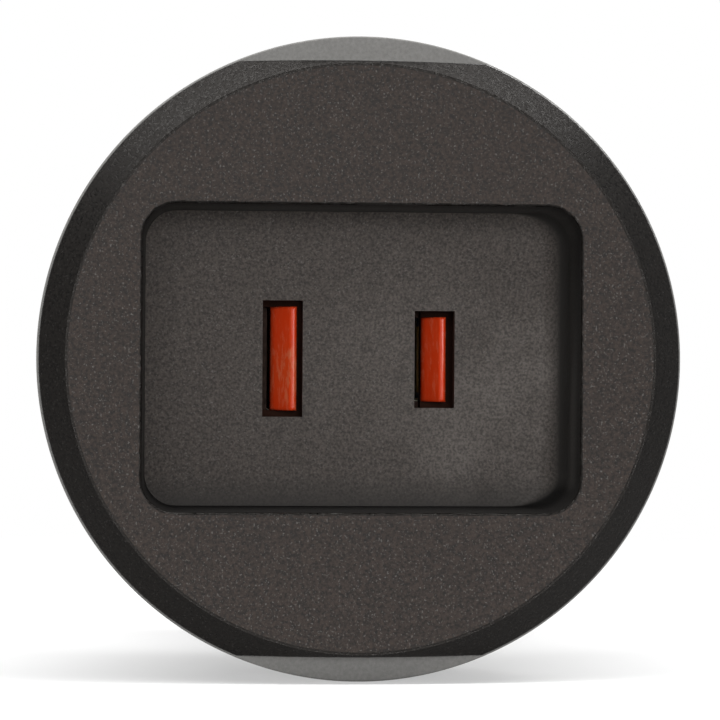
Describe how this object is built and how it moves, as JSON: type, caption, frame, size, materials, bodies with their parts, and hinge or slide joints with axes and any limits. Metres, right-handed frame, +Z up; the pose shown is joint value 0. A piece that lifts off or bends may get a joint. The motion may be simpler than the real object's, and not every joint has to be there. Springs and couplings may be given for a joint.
{
  "type": "travel plug adapter",
  "caption": "Round plug-in adapter: a polarised two-blade outlet in a deep rounded well with a sprung shutter, on a plug with round pins.",
  "frame": {"origin": "centre of the plug face, midway between the two pins where they come out", "axes": "+Y along the pins, out of the plug face, so the outlet looks to -Y; +Z up; +X to the right as seen from the outlet, towards the line slot"},
  "size_m": [0.052, 0.0513, 0.052],
  "materials": {
    "cover_black": "moulded, fine spark-eroded grain",
    "housing_grey": "moulded, smooth satin",
    "shutter_red": "moulded, glossy",
    "insulator_ivory": "moulded",
    "contact_brass": "stamped and folded",
    "pin_nickel": "turned brass, nickel plated",
    "screw_steel": "zinc plated",
    "spring_steel": "drawn wire"
  },
  "bodies": {
    "adapter": {"front_cover": "cover_black", "shutter_spring": "spring_steel", "shutter_plate": "cover_black", "plate_screw_1": "screw_steel", "plate_screw_2": "screw_steel", "rear_housing": "housing_grey", "neutral_pin": "pin_nickel", "line_pin": "pin_nickel", "neutral_contact": "contact_brass", "line_contact": "contact_brass", "contact_carrier": "insulator_ivory", "housing_screw_1": "screw_steel", "housing_screw_2": "screw_steel"},
    "shutter": {"shutter": "shutter_red"}
  },
  "joints": [
    {"name": "shutter_slide", "type": "slide", "parent": "adapter", "child": "shutter", "axis": [1, 0, 0], "range_m": [0, 0.0026], "stiffness_N_per_m": 110, "springref_m": -0.004, "deforming": ["shutter_spring"]}
  ]
}
